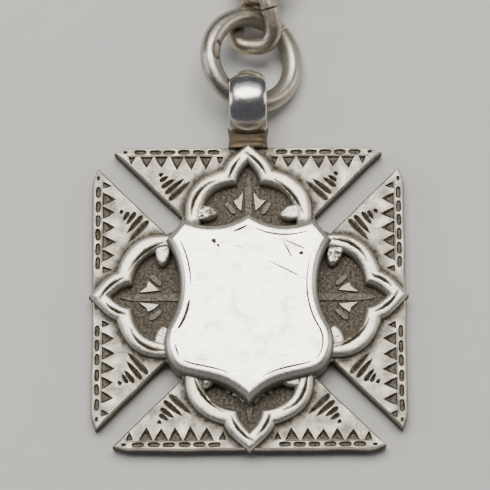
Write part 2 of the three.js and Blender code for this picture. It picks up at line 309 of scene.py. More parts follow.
def slab(outline, holes, profile, cuts=(), low_painted_shade=0.0, stain=None, fade=(0.35, 0.85)):
    """A plate with shaped edges. profile is [(inset, z), ...] from the back's edge to the face's.

    The edge's wall is painted darker at the back, as painted shade, and this fades out between two shares
    of the profile.
    """
    shape = Shape()
    levels = []
    for distance, z in profile:
        loops = [inset(outline, distance)] + [inset(hole, -distance) for hole in holes]
        levels.append((loops, [shape.add_loop(loop, z) for loop in loops]))
    last = len(profile) - 1
    for n in range(len(holes) + 1):
        rings = [ids[n] for _, ids in levels]
        # Painted shade on the edge's walls, darkest at the back.
        dark = [[low_painted_shade * smooth(fade[1], fade[0], k / last)] * len(rings[0]) for k in range(last + 1)]
        shape.skin(rings, dark, capped=False)
    fill_cap(shape, *levels[0], profile[0][1], [])
    fill_cap(shape, *levels[-1], profile[-1][1], list(cuts), stain)
    return shape


def sweep(points, frames, section, closed, patina_and_shade=None):
    """A tube along points: section(i, j) gives (sideways, upwards) for step i and side j."""
    shape = Shape()
    rings, dark = [], []
    for i, (point, (side, up)) in enumerate(zip(points, frames)):
        offsets = [section(i, j) for j in range(section.sides)]
        rings.append(shape.add_points(point + side * a + up * b for a, b in offsets))
        dark.append([patina_and_shade(i, j) if patina_and_shade else 0.0 for j in range(section.sides)])
    shape.skin(rings, dark, closed)
    return shape


def loop_frames(points, closed=True):
    """Sideways and upward directions along a path, turning as little as they can."""
    count = len(points)
    tangents = []
    for i in range(count):
        before = points[i - 1] if closed or i else points[0]
        after = points[(i + 1) % count] if closed or i < count - 1 else points[-1]
        tangents.append((after - before).normalized())
    up = tangents[0].orthogonal().normalized()
    ups = [up]
    for i in range(1, count):
        swing = tangents[i - 1].rotation_difference(tangents[i])
        ups.append((swing @ ups[-1]).normalized())
    if closed:
        back = tangents[-1].rotation_difference(tangents[0]) @ ups[-1]
        side = tangents[0].cross(ups[0])
        slip = math.atan2(back.dot(side), back.dot(ups[0]))
        for i in range(count):
            ups[i] = Matrix.Rotation(slip * i / count, 3, tangents[i]) @ ups[i]
    return [(t.cross(u).normalized(), u) for t, u in zip(tangents, ups)]


class RoundWire:
    """A round section whose radius wanders a little, as drawn and worn wire does."""

    def __init__(self, points, radius, sides, seed, unevenness=0.012, dents=()):
        self.points = points
        self.radius = radius
        self.sides = sides
        self.offset = Vector((seed * 7.3, seed * 3.1, seed * 5.7))
        self.unevenness = unevenness
        self.dents = dents

    def __call__(self, i, j):
        angle = 2 * math.pi * j / self.sides
        out = Vector((math.cos(angle), math.sin(angle), 0))
        lump = noise.noise(self.points[i] * 0.9 + self.offset + out)
        radius = self.radius * (1 + self.unevenness * lump)
        for at, around, long, wide, depth in self.dents:
            away = ((i - at) / long) ** 2 + (math.sin((angle - around) / 2) * 2 / wide) ** 2
            radius -= depth * max(0.0, 1 - away) ** 0.5 if math.cos(angle - around) > 0 else 0.0
        return radius * math.cos(angle), radius * math.sin(angle)


def twisted_oval(length, width, twist, squareness, steps):
    """A boxy oval along Y, twisted about Y from end to end."""
    points = []
    for angle in circle(steps):
        x = width / 2 * boxy(math.cos(angle), 2 / squareness)
        y = length / 2 * boxy(math.sin(angle), 2 / squareness)
        turn = twist * y / length
        points.append(Vector((x * math.cos(turn), y, -x * math.sin(turn))))
    return even_steps(points, steps)


def even_steps(points, steps):
    """The same closed path with its points evenly spaced."""
    lengths = [0.0]
    for i in range(len(points)):
        lengths.append(lengths[-1] + (points[(i + 1) % len(points)] - points[i]).length)
    result = []
    k = 0
    for i in range(steps):
        want = lengths[-1] * i / steps
        while lengths[k + 1] < want:
            k += 1
        t = (want - lengths[k]) / (lengths[k + 1] - lengths[k])
        result.append(points[k].lerp(points[(k + 1) % len(points)], t))
    return result


def lathe(profile, sides):
    """A turned solid about Y. profile is [(radius, y), ...] from one end to the other."""
    shape = Shape()
    rings = []
    for radius, y in profile:
        rings.append(shape.add_points(
            Vector((radius * math.cos(angle), y, radius * math.sin(angle))) for angle in circle(sides)))
    shape.skin(rings, [[0.0] * sides] * len(rings))
    return shape


JOIN_WITHIN = 0.0005


def to_mesh(name, shape, sharp_degrees):
    mesh = bpy.data.meshes.new(name)
    mesh.from_pydata([v * MM for v in shape.verts], [], shape.faces)
    layer = mesh.attributes.new("patina_and_shade", "FLOAT", "CORNER")
    layer.data.foreach_set("value", shape.patina_and_shade)
    work = bmesh.new()
    work.from_mesh(mesh)
    bmesh.ops.delete(work, geom=[v for v in work.verts if not v.link_faces], context="VERTS")
    bmesh.ops.remove_doubles(work, verts=work.verts, dist=JOIN_WITHIN * MM)
    bmesh.ops.dissolve_degenerate(work, edges=work.edges, dist=JOIN_WITHIN * 0.4 * MM)
    bmesh.ops.recalc_face_normals(work, faces=work.faces)
    limit = math.radians(sharp_degrees)
    for face in work.faces:
        face.smooth = True
    for edge in work.edges:
        edge.smooth = len(edge.link_faces) == 2 and edge.calc_face_angle(0.0) < limit
    work.to_mesh(mesh)
    work.free()
    return mesh


def add_object(name, shape, sharp_degrees):
    """An object in the scene, made from a shape."""
    made = bpy.data.objects.new(name, to_mesh(name, shape, sharp_degrees))
    bpy.context.scene.collection.objects.link(made)
    return made


def make_piece(name, shape, material, body, node, sharp_degrees=38):
    """An object that rides a body and takes a CAD node's place."""
    piece = add_object(name, shape, sharp_degrees)
    piece.data.materials.append(material)
    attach(piece, body)
    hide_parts(node)
    return piece


# ---- Materials ----


class Tree:
    """A material's nodes, added in short calls."""

    def __init__(self, name):
        self.material = bpy.data.materials.new(name)
        self.material.use_nodes = True
        self.nodes = self.material.node_tree.nodes
        self.links = self.material.node_tree.links
        self.shader = self.nodes["Principled BSDF"]

    def add(self, kind, settings=None, **inputs):
        node = self.nodes.new(kind)
        for key, value in (settings or {}).items():
            setattr(node, key, value)
        for key, value in inputs.items():
            self.feed(node.inputs[key.replace("_", " ")], value)
        return node

    def feed(self, socket, value):
        if isinstance(value, bpy.types.NodeSocket):
            self.links.new(value, socket)
        else:
            socket.default_value = value

    def math(self, operation, a, b=0.0, clamp=False):
        node = self.nodes.new("ShaderNodeMath")
        node.operation = operation
        node.use_clamp = clamp
        self.feed(node.inputs[0], a)
        self.feed(node.inputs[1], b)
        return node.outputs[0]

    def place(self, stretch=(1, 1, 1), turn=0.0):
        """The piece's own coordinates in millimetres."""
        coords = self.nodes.new("ShaderNodeTexCoord")
        scale = [s / MM for s in stretch]
        turned_by = (0, 0, math.radians(turn))
        source = coords.outputs["Object"]
        return self.add("ShaderNodeMapping", Vector=source, Scale=scale, Rotation=turned_by).outputs[0]

    def noise(self, scale, detail=3.0, roughness=0.6, **place):
        settings = {"Scale": scale, "Detail": detail, "Roughness": roughness}
        return self.add("ShaderNodeTexNoise", Vector=self.place(**place), **settings).outputs["Fac"]

    def step(self, value, low, high):
        """0 below low, 1 above high, smooth between."""
        kind = {"interpolation_type": "SMOOTHSTEP"}
        return self.add("ShaderNodeMapRange", kind, Value=value, From_Min=low, From_Max=high).outputs[0]

    def mix(self, factor, a, b):
        """From colour a to colour b."""
        node = self.add("ShaderNodeMix", {"data_type": "RGBA"}, Factor=factor)
        self.feed(node.inputs[6], a)
        self.feed(node.inputs[7], b)
        return node.outputs[2]

    def between(self, factor, a, b):
        """From number a to number b."""
        node = self.add("ShaderNodeMix", Factor=factor)
        self.feed(node.inputs[2], a)
        self.feed(node.inputs[3], b)
        return node.outputs[0]

    def bump(self, height, strength, depth, below=None, invert=False):
        """A bump of a depth in millimetres, over the normal of another bump."""
        settings = {"Height": height, "Strength": strength, "Distance": depth * MM}
        if below:
            settings["Normal"] = below
        return self.add("ShaderNodeBump", {"invert": invert}, **settings).outputs[0]


def scratches(tree, turn, scale, low, high):
    """Short thin lines that run one way: noise stretched a long way, here and there."""
    lines = tree.step(tree.noise(scale, 2.0, 0.5, stretch=(0.07, 1.0, 1.0), turn=turn), low, high)
    here = tree.step(tree.noise(0.35, 2.0, 0.5, turn=turn), 0.52, 0.62)
    return tree.math("MULTIPLY", lines, here)


CORNER_REACH = 0.9  # how far from an inside corner the ambient-occlusion darkening reaches: painted shade, standing partly for real tarnish in hollows
PORE_DEPTH = 0.035
SCRATCH_DEPTH = 0.008
TARNISH_ROUGHNESS = 0.66


def silver(name, color, tarnish_color, roughness, tarnish, wear, marks, dents):
    """Old silver: bright where it is rubbed, brown with tarnish in the cuts, darker with painted shade in
    corners and where pieces touch, finely scratched.

    tarnish is how spotted it is, wear how coarse its pores are, marks how deep its scratches are,
    and dents how many millimetres its surface waves. A patina below 0 keeps spots off.
    """
    tree = Tree(name)
    cut = tree.add("ShaderNodeAttribute", {"attribute_name": "patina_and_shade"}).outputs["Fac"]
    shade = tree.add("ShaderNodeAmbientOcclusion", {"samples": 8}, Distance=CORNER_REACH * MM).outputs["AO"]
    blotch = tree.noise(0.55, 4.0, 0.62)
    fine = tree.noise(4.2, 4.0, 0.68)
    speckle = tree.step(tree.noise(11.0, 3.0, 0.7), 0.55, 0.70)

    # Painted shade: ambient occlusion pulls corners, hollows and contacts between pieces towards the
    # tarnish colour; in hollows it also stands for real tarnish.
    occlusion_shade = tree.math("MULTIPLY", tree.math("SUBTRACT", 1.0, shade), 1.25)
    grain = tree.math("MULTIPLY", tree.math("SUBTRACT", fine, 0.5), 0.9)
    dirt_and_shade = tree.step(tree.math("ADD", occlusion_shade, grain), 0.42, 1.02)
    stain = tree.math("MULTIPLY", tree.step(blotch, 0.48, 0.70), 0.6 * tarnish)
    spots = tree.math("MULTIPLY", speckle, tarnish)
    rubbed_clean = tree.math("ADD", 1.0, tree.math("MULTIPLY", cut, 3.0), clamp=True)
    marks_all_over = tree.math("MULTIPLY", tree.math("ADD", stain, spots), rubbed_clean)
    amount = tree.math("MAXIMUM", dirt_and_shade, marks_all_over)
    ragged = tree.math("ADD", cut, tree.math("MULTIPLY", grain, tree.step(cut, 0.02, 0.5)))
    amount = tree.math("MAXIMUM", amount, ragged, clamp=True)

    dull = (*(c * 0.80 for c in color), 1)
    crust = (*(c * 1.9 for c in tarnish_color), 1)
    clean = tree.mix(tree.step(fine, 0.30, 0.72), dull, (*color, 1))
    deep = tree.mix(tree.step(fine, 0.3, 0.7), (*tarnish_color, 1), crust)
    tree.feed(tree.shader.inputs["Base Color"], tree.mix(amount, clean, deep))
    tree.feed(tree.shader.inputs["Metallic"], tree.between(amount, 1.0, 0.2))

    lines = scratches(tree, 24, 9.0, 0.62, 0.68)
    for turn, scale in ((-37, 7.0), (81, 11.0)):
        lines = tree.math("MAXIMUM", lines, scratches(tree, turn, scale, 0.63, 0.69))
    rubbed = tree.math("MULTIPLY", tree.math("SUBTRACT", fine, 0.5), 0.28 * wear)
    rough = tree.math("ADD", rubbed, roughness)
    rough = tree.math("ADD", rough, tree.math("MULTIPLY", lines, 0.08 * marks))
    tree.feed(tree.shader.inputs["Roughness"], tree.between(amount, rough, TARNISH_ROUGHNESS))

    waves = tree.bump(tree.noise(0.9, 2.0, 0.5), 0.5, dents)
    pores = tree.bump(tree.noise(6.0, 4.0, 0.72), 0.6, PORE_DEPTH * wear, waves)
    lined = tree.bump(lines, 0.35, SCRATCH_DEPTH * marks, pores, invert=True)
    tree.feed(tree.shader.inputs["Normal"], lined)
    return tree.material


BROWN = (0.029, 0.0198, 0.0092)
LINK_BROWN = (0.060, 0.041, 0.022)
SOLDER_BROWN = (0.030, 0.021, 0.012)
STEEL_BROWN = (0.12, 0.10, 0.085)
# name, clean colour, tarnish colour, roughness, tarnish, wear, marks, dents
engraved_silver = silver("engraved_silver", (0.93, 0.88, 0.755), BROWN, 0.33, 0.70, 1.8, 0.7, 0.04)
shield_silver = silver("shield_silver", (0.975, 0.94, 0.85), BROWN, 0.24, 0.26, 0.5, 1.2, 0.02)
polished_silver = silver("polished_silver", (0.92, 0.885, 0.82), BROWN, 0.19, 0.08, 0.35, 0.7, 0.04)
ring_silver = silver("ring_silver", (0.58, 0.535, 0.455), BROWN, 0.31, 0.36, 0.6, 0.9, 0.05)
link_silver = silver("link_silver", (0.56, 0.50, 0.405), LINK_BROWN, 0.33, 0.62, 0.9, 0.7, 0.05)
clip_silver = silver("clip_silver", (0.84, 0.80, 0.72), BROWN, 0.24, 0.20, 0.7, 0.9, 0.03)
# The solder is dark partly for its real brown and partly as painted shade for the seat under the bail.
solder_silver = silver("solder_silver", (0.24, 0.19, 0.125), SOLDER_BROWN, 0.40, 0.9, 1.8, 0.6, 0.12)
steel = silver("spring_steel", (0.60, 0.60, 0.61), STEEL_BROWN, 0.22, 0.12, 0.5, 0.8, 0.01)


# ---- Medal plate ----


TIP_WEAR = 0.42  # how far the arms' corners are rubbed down


def cross_outline():
    """The square with a slot cut in from each corner, anticlockwise from the right arm."""
    end = PLATE_HALF - SLOT_WIDTH / math.sqrt(2) - TIP_WEAR
    tip = PLATE_HALF - TIP_WEAR - 0.1
    root = SLOT_INNER / math.sqrt(2)
    side = SLOT_WIDTH / 2 / math.sqrt(2)
    quarter = vectors([
        (tip, 0.1 - end), (PLATE_HALF, 0.2 - end), (PLATE_HALF, end - 0.2), (tip, end - 0.1),
        (root + side, root - side), (root - 0.28, root - 0.28), (root - side, root + side)])
    outline = []
    for turn in range(4):
        outline.extend(turned(quarter, 90 * turn))
    dense = []
    for i, here in enumerate(outline):
        after = outline[(i + 1) % len(outline)]
        steps = max(1, round((after - here).length / 0.45))
        dense.extend(here.lerp(after, k / steps) for k in range(steps))
    return [worn_corner(point) for point in dense]


def worn_corner(point):
    """The arms' corners are rubbed down, and every edge wanders a little."""
    far = max(abs(point.x), abs(point.y))
    near = min(abs(point.x), abs(point.y))
    rub = TIP_WEAR * smooth(10.7, 12.3, near) if far > PLATE_HALF - 0.01 else 0.0
    waver = noise.noise(Vector((point.x * 0.45, point.y * 0.45, 3.0))) * 0.07
    out = Vector((1, 0)) if abs(point.x) > abs(point.y) else Vector((0, 1))
    sign = math.copysign(1, point.dot(out))
    return point + out * sign * (waver - rub)


def dash(x, y, length, width, tilt=0.0, depth=0.2):
    """A rounded dash, as cut with a round graver."""
    outline, floor = [], []
    turn = Matrix.Rotation(tilt, 2)
    for angle in circle(14):
        across = boxy(math.cos(angle), 0.6)
        along = boxy(math.sin(angle), 0.8)
        outline.append(Vector((x, y)) + turn @ Vector((across * length / 2, along * width / 2)))
        inner = Vector((across * (length / 2 - 0.15), along * (width / 2 - 0.15)))
        floor.append(Vector((x, y)) + turn @ inner)
    return Cut(outline, floor, depth, True, 0.88, 1.0)


def notch(x, y, base, height, lean=0.0, depth=0.26):
    """A triangular chip with its base at y and its point below it, deepest at its base."""
    point = Vector((x + lean, y - height))
    left, right = Vector((x - base / 2, y)), Vector((x + base / 2, y))
    mid_left = left.lerp(point, 0.45) + Vector((-0.03, -0.02))
    mid_right = right.lerp(point, 0.45) + Vector((0.03, -0.02))
    outline = [left, mid_left, point, mid_right, right]
    floor = [left + Vector((0.14, -0.09)), Vector((x, y - 0.55 * height)), right + Vector((-0.14, -0.09))]
    return Cut(outline, floor, depth, True, 0.88, 1.0)


def stroke(start, end, width, depth=0.22):
    """A tapered graver stroke: a point at its start, fullest near its end."""
    start, end = Vector(start), Vector(end)
    along = end - start
    across = Vector((-along.y, along.x)).normalized()
    widths = ((0.0, 0.0), (0.25, 0.34), (0.5, 0.46), (0.75, 0.5), (0.92, 0.36), (1.0, 0.0))
    one = [start + along * t + across * width * w for t, w in widths]
    other = [start + along * t - across * width * w for t, w in widths[1:-1]]
    spine = [start + along * t for t in (0.2, 0.5, 0.75, 0.9)]
    return Cut(one + other[::-1], spine, depth, False, 1.0, 0.85)


RIDGE = 0.88  # from an arm's outer edge to the fine ridge between its two rows of cuts


def fine_ridge(side, y, rng):
    """The thin raised line left standing between the dashes and the chips."""
    middle = [Vector((side * (2.75 + 0.45 * i), y + rng.uniform(-0.015, 0.015))) for i in range(20)]
    half = Vector((0, 0.055))
    outline = [p - half for p in middle] + [p + half for p in reversed(middle)]
    return Cut(outline, middle[1:-1], -0.07, False, -0.33, 0.0)


def arm_cuts(rng):
    """The engraving of the upper arm: a border of dashes and chips, and two fans of strokes."""
    cuts = []
    ridge = PLATE_HALF - RIDGE
    for side in (-1, 1):
        first = rng.uniform(3.0, 3.3)
        pitch = rng.uniform(1.29, 1.36)
        tall = rng.uniform(1.10, 1.24)
        for i in range(7):
            x = side * (first + pitch * i + rng.uniform(-0.05, 0.05))
            size = rng.uniform(1.08, 1.17) * (0.4 if i == 6 else 1.0)
            high = rng.uniform(0.47, 0.52) * (0.6 if i == 6 else 1.0)
            y = ridge + 0.34 + rng.uniform(-0.01, 0.01)
            cuts.append(dash(x, y, size, high, rng.uniform(-0.05, 0.05)))
        for i in range(7):
            x = side * (first - 0.62 + pitch * i + rng.uniform(-0.05, 0.05))
            base = rng.uniform(1.20, 1.29) * (0.55 if i in (0, 6) else 1.0)
            height = tall * rng.uniform(0.88, 1.1) * (0.6931 if i in (0, 6) else 1.0)
            cuts.append(notch(x, ridge - 0.07, base, height, rng.uniform(-0.1, 0.1)))
        fan = (
            ((7.2, 8.95), (5.1, 10.85), 0.62), ((7.6, 9.55), (5.8, 11.05), 0.56),
            ((7.9, 10.2), (6.65, 11.1), 0.52), ((8.0, 10.8), (7.15, 11.35), 0.48),
            ((8.1, 11.35), (7.7, 11.65), 0.40),
        )
        cuts.append(fine_ridge(side, ridge, rng))
        mirror = Vector((side, 1))
        for tail, head, width in fan:
            jog = Vector((rng.uniform(-0.09, 0.09), rng.uniform(-0.07, 0.07)))
            start, end = Vector(head) + jog, Vector(tail) + jog * 0.5
            cuts.append(stroke(start * mirror, end * mirror, width))
    return cuts


def pocket():
    """The sunk ground inside one lobe's rim."""
    outline = rim_line(0.5)
    outline = outline[4:-4] + [Vector((-4.7, 6.05)), Vector((4.7, 6.05))]
    outline.reverse()
    floor = inset(outline[::-1], 0.10)
    return Cut(outline, floor, PLATE_TOP - RECESS_FLOOR, True, 0.93, 1.0)


def plate_stain_and_shade(point):
    """A halo of painted shade along the lobes' rims, and real tarnish: round the solder by the bail and in
    random blots all over.
    """
    local = Vector(sorted((abs(point.x), abs(point.y))))
    reach = min((local - p).length for p in RIM_EDGE)
    blot = noise.noise(Vector((point.x * 1.1, point.y * 1.1, 8.0)))
    fleck = noise.noise(Vector((point.x * 3.1, point.y * 3.1, 2.0)))
    # Painted shade in a band along the rims' outer edge.
    rim_shade = smooth(0.95, 0.15, reach + 0.25 * blot)
    solder = 0.0
    if point.y > 0:
        away = math.hypot(abs(point.x) - 2.0, (point.y - PLATE_HALF + 0.3) / 0.55)
        solder = 0.75 * smooth(1.3, 0.4, away + 0.5 * fleck)
    return min(1.0, max(0.98 * rim_shade, solder, 0.36 + 0.46 * blot))


def plate_shape():
    rng = random.Random(11)
    cuts = []
    for quarter in range(4):
        cuts.extend(cut.turned(90 * quarter) for cut in arm_cuts(rng))
        cuts.append(pocket().turned(90 * quarter))
    profile = [(0.30, 0.0), (0.10, 0.06), (0.0, 0.26), (0.0, 0.62), (0.0, 0.98), (0.02, 1.22)]
    profile += [(0.08, 1.44), (PLATE_EDGE * 0.6, 1.62), (PLATE_EDGE, PLATE_TOP)]
    # The plate's edge walls carry painted shade, full (1.0) at the back.
    return slab(cross_outline(), [], profile, cuts, 1.0, plate_stain_and_shade, (0.62, 0.92))


# ---- Lobe rims ----

SIDE_STEPS = 50
TOP_STEPS = 34
ACROSS = 26
OUTER_SIDE = [(5.55, 6.25), (6.3, 9.2), (5.1, 11.1), (2.3, 11.86)]
OUTER_TOP = [(2.3, 11.86), (2.05, 12.7), (1.05, 13.45), (0.0, PEAK)]
INNER_SIDE = [(4.3, 6.25), (4.3, 9.1), (3.25, 10.2), (1.02, 10.42)]
INNER_TOP = [(1.02, 10.42), (0.95, 11.3), (0.5, 11.8), (0.0, 12.35)]


def half_line(side, top, end):
    return bezier(side, SIDE_STEPS) + bezier(top, TOP_STEPS) + [Vector(end)]


def mirrored_line(half):
    return half + [p * Vector((-1, 1)) for p in half[-2::-1]]


def rim_line(share):
    """The line at a share of the way across the rim's band, from its right foot to its left."""
    outer = mirrored_line(half_line(OUTER_SIDE, OUTER_TOP, OUTER_TOP[3]))
    inner = mirrored_line(half_line(INNER_SIDE, INNER_TOP, INNER_TOP[3]))
    return [a.lerp(b, share) for a, b in zip(outer, inner)]


RIM_EDGE = half_line(OUTER_SIDE, OUTER_TOP, OUTER_TOP[3])[::4]


class Groove:
    """A crescent cut with a graver along a curve, widest past its middle."""

    def __init__(self, points, half_width):
        self.line = bezier(points, 12) + [Vector(points[-1])]
        self.half_width = half_width

    def depth(self, point):
        best = 0.0
        last = len(self.line) - 1
        for i in range(last):
            a, b = self.line[i], self.line[i + 1]
            span = b - a
            t = min(1.0, max(0.0, (point - a).dot(span) / span.length_squared))
            share = (i + t) / last
            width = self.half_width * math.sin(math.pi * share ** 1.15) ** 0.8 + 1e-4
            off = (point - a - span * t).length / width
            if off < 1:
                best = max(best, min(1.0, width / self.half_width) * (1 - off ** 2))
        return best


def rim_grooves(rng):
    """Four crescents: one on each round shoulder, and two on the point that pass each other."""
    def loose(points):
        return [(x + rng.uniform(-0.06, 0.06), y + rng.uniform(-0.06, 0.06)) for x, y in points]

    return [
        Groove(loose([(-2.7, 10.62), (-4.6, 10.3), (-5.2, 8.6), (-5.1, 7.3)]), rng.uniform(0.17, 0.2)),
        Groove(loose([(1.95, 10.85), (3.6, 10.3), (4.6, 8.8), (4.9, 7.5)]), rng.uniform(0.17, 0.2)),
        Groove(loose([(-0.6, 12.9), (-1.25, 12.3), (-1.6, 11.7), (-1.8, 10.8)]), rng.uniform(0.16, 0.19)),
        Groove(loose([(-0.62, 13.5), (0.45, 13.0), (1.25, 12.2), (1.6, 11.1)]), rng.uniform(0.15, 0.18)),
    ]


def rim_shape(rng):
    """A raised, rounded band round one lobe (reaching +Y)."""
    shape = Shape()
    outer, inner = rim_line(0.0), rim_line(1.0)
    grooves = rim_grooves(rng)
    rings, dark = [], []
    for i, (a, b) in enumerate(zip(outer, inner)):
        points, darkness = [], []
        foot = smooth(0, 5, min(i, len(outer) - 1 - i))
        for j in range(ACROSS + 1):
            t = j / ACROSS
            rounded = (1 - abs(2 * t - 1) ** 3.6) ** (1 / 2.6)
            ground = RECESS_FLOOR + 0.02 if t > 0.5 else PLATE_TOP - 0.12
            z = ground + (RIM_TOP - ground) * rounded * (0.75 + 0.25 * foot)
            point = a.lerp(b, t)
            depth = max(groove.depth(point) for groove in grooves)
            waver = 0.03 * noise.noise(Vector((point.x * 0.9, point.y * 0.9, 4.0)))
            points.append(Vector((point.x, point.y, z - 0.30 * depth + waver)))
            # Painted shade along both feet of the rim; the darkness in the grooves is real tarnish.
            foot_shade = max(smooth(0.10, 0.0, t), smooth(0.91, 1.0, t)) * 0.95
            rubbed = -0.33 * smooth(0.2, 0.4, t) * smooth(0.85, 0.7, t)
            dark_now = max(foot_shade, smooth(0.25, 0.7, depth))
            darkness.append(dark_now if dark_now > 0.05 else rubbed)
        for point in (b, a):
            points.append(Vector((point.x, point.y, RECESS_FLOOR - 0.4)))
            darkness.append(1.0)
        rings.append(shape.add_points(points))
        dark.append(darkness)
    shape.skin(rings, dark)
    return shape


# Share of the full radius and of the height, from the foot of a curl to its flat top.
CURL_PROFILE = (
    (1.0, 0.0), (1.0, 0.55), (0.98, 0.72), (0.93, 0.86), (0.84, 0.95), (0.70, 0.99),
    (0.5, 1.0), (0.3, 1.0), (0.1, 1.0),
)


def curl_shape(x, y, long, wide, turn, pitted, seed):
    """The flat-topped curl that ends a rim's foot."""
    shape = Shape()
    around = 36
    rings, dark = [], []
    height = RIM_TOP - 0.10 - RECESS_FLOOR
    for share, rise in CURL_PROFILE:
        points = []
        for angle in circle(around):
            egg = wide * (1 + 0.16 * math.cos(angle))
            round_it = Vector((math.cos(angle) * long, math.sin(angle) * egg))
            spot = Matrix.Rotation(turn, 2) @ round_it * share
            bump = noise.noise(Vector((spot.x * 2.7, spot.y * 2.7, seed)))
            pit = min(0.0, bump) * pitted * smooth(0.5, 1.0, rise)
            points.append(Vector((x + spot.x, y + spot.y, RECESS_FLOOR + height * rise + pit)))
        rings.append(shape.add_points(points))
        dark.append([smooth(0.75, 0.3, rise)] * around)
    shape.skin(rings, dark)
    return shape


def bar_shape(outline, top, dark):
    """A low raised ray in a recess; dark is the tarnish on its top."""
    base = RECESS_FLOOR - 0.2
    profile = [(0.0, base), (0.0, base + 0.2), (0.02, top - 0.06), (0.06, top)]
    shape = slab(outline, [], profile)
    shape.patina_and_shade = [0.95] * len(shape.patina_and_shade)
    corners = 0
    for face in shape.faces:
        if all(shape.verts[i].z > top - 0.09 for i in face):
            shape.patina_and_shade[corners:corners + len(face)] = [dark] * len(face)
        corners += len(face)
    return shape


def recess_rays(rng):
    """What stands on a lobe's sunk ground: a central ray, two bright facets and two slanting rays."""
    shape = Shape()
    ray = vectors([
        (-0.36, 6.15), (0.36, 6.15), (0.38, 9.9), (0.24, 11.0),
        (0.0, 11.6), (-0.24, 11.0), (-0.38, 9.9)])
    shape.join(bar_shape(ray, RECESS_FLOOR + 0.16, 0.86))
    for side in (-1, 1):
        facet = vectors([
            (side * 0.46, 9.85), (side * 0.62, 8.0), (side, 8.35),
            (side * rng.uniform(1.35, 1.65), 9.05), (side, 9.2)])
        if (facet[1] - facet[0]).cross(facet[2] - facet[0]) < 0:
            facet.reverse()
        shape.join(bar_shape(facet, RECESS_FLOOR + 0.24, rng.uniform(0.22, 0.4)))
        angle = -side * math.radians(rng.uniform(30, 44))
        lozenge = []
        for t in circle(18):
            local = Vector((0.27 * math.cos(t), 0.72 * boxy(math.sin(t), 0.5)))
            lozenge.append(Matrix.Rotation(angle, 2) @ local + Vector((side * 1.62, 8.35)))
        shape.join(bar_shape(lozenge, RECESS_FLOOR + 0.2, 0.8))
    return shape


def medal():
    plate = plate_shape()
    rng = random.Random(5)
    for quarter in range(4):
        turn = Matrix.Rotation(math.radians(90 * quarter), 4, "Z")
        plate.join(rim_shape(rng), turn)
        plate.join(recess_rays(rng), turn)
        for side in (-1, 1):
            long = rng.uniform(1.12, 1.28)
            wide = rng.uniform(0.68, 0.80)
            tilt = (0 if side > 0 else math.pi) + side * rng.uniform(-0.1, 0.45)
            pitted = 0.55 if (quarter + (side > 0)) % 3 == 0 else 0.14
            plate.join(curl_shape(side * 3.95, 7.72, long, wide, tilt, pitted, quarter * 3 + side), turn)
    make_piece("medal_cross", plate, engraved_silver, "medal", "cross_plate")


# ---- Shield ----


def shield_outline():
    right = bezier([(0, 7.45), (0.9, 6.75), (3.0, 5.55), (5.85, 6.9)], 22)
    right += bezier([(5.85, 6.9), (7.45, 4.95)], 8)
    right += bezier([(7.45, 4.95), (6.5, 3.9), (5.35, 0.2), (7.05, -2.7)], 30)
    right += bezier([(7.05, -2.7), (8.2, -4.6), (7.2, -6.9), (6.0, -7.3)], 24)
    right += bezier([(6.0, -7.3), (4.4, -8.0), (2.0, -7.6), (0, -10.1)], 26) + [Vector((0, -10.1))]
    left = [Vector((-p.x, p.y)) for p in right[1:-1]]
    return [right[0]] + left + right[:0:-1]


def border_cut(loop, first, last, width, depth=0.09):
    """A fine cut that follows the shield's edge between two shares of its length."""
    count = len(loop)
    span = [loop[i % count] for i in range(int(first * count), int(last * count))]
    one, other, spine = [], [], []
    for i in range(1, len(span) - 1):
        across = (span[i + 1] - span[i - 1]).normalized().orthogonal()
        half = width * math.sin(math.pi * i / (len(span) - 1)) ** 0.6 / 2
        one.append(span[i] + across * half)
        other.append(span[i] - across * half)
        spine.append(span[i])
    outline = [span[0]] + one + [span[-1]] + other[::-1]
    return Cut(outline, spine[1:-1], depth, False, 1.0, 0.9)


def pit(x, y, size, rng, depth=0.07):
    outline = []
    for angle in circle(9):
        reach = size * rng.uniform(0.6, 1.1)
        outline.append(Vector((x + math.cos(angle) * reach, y + math.sin(angle) * reach)))
    middle = Vector((x, y))
    return Cut(outline, [p.lerp(middle, 0.5) for p in outline], depth, True)


def shield():
    outline = shield_outline()
    rise = SHIELD_TOP - PLATE_TOP
    profile = [(0.0, PLATE_TOP - 0.6), (0.0, PLATE_TOP + 0.1), (0.0, PLATE_TOP + 0.48 * rise)]
    for step in range(1, 8):
        angle = math.radians(90 * step / 8)
        out = FACE_INSET * (1 - math.cos(angle)) * 0.92
        profile.append((out, PLATE_TOP + rise * (0.48 + 0.52 * math.sin(angle) ** 0.9)))
    profile += [(FACE_INSET * 0.96, SHIELD_TOP - 0.005), (FACE_INSET + 0.12, SHIELD_TOP)]
    border = inset(outline, FACE_INSET + 0.24)
    rng = random.Random(3)
    # Shares of the outline, anticlockwise from the top point.
    cuts = [border_cut(border, *c) for c in (
        (0.014, 0.052, 0.20), (0.152, 0.235, 0.16), (0.238, 0.288, 0.32), (0.310, 0.356, 0.15),
        (0.365, 0.472, 0.17), (0.528, 0.628, 0.17), (0.636, 0.828, 0.16), (0.905, 0.984, 0.17),
    )]
    cuts += [pit(-3.1, 4.7, 0.30, rng), pit(-2.72, 4.3, 0.17, rng), pit(4.7, 3.55, 0.24, rng)]
    cuts += [pit(-5.6, 5.2, 0.06, rng), pit(-3.95, 0.5, 0.06, rng), pit(0.2, 2.2, 0.05, rng)]
    for start, end in (((2.8, 5.0), (5.2, 3.9)), ((3.0, 4.9), (3.9, 3.1)), ((1.5, 3.0), (4.6, 1.4))):
        cuts.append(stroke(start, end, 0.14, 0.04))
    # The shield's sides carry painted shade (0.8) where they rise from the plate.
    shape = slab(outline, [], profile, cuts, 0.8)
    name = "shield_cartouche"
    make_piece(f"{name}_silver", shape, shield_silver, "medal", name, 18)


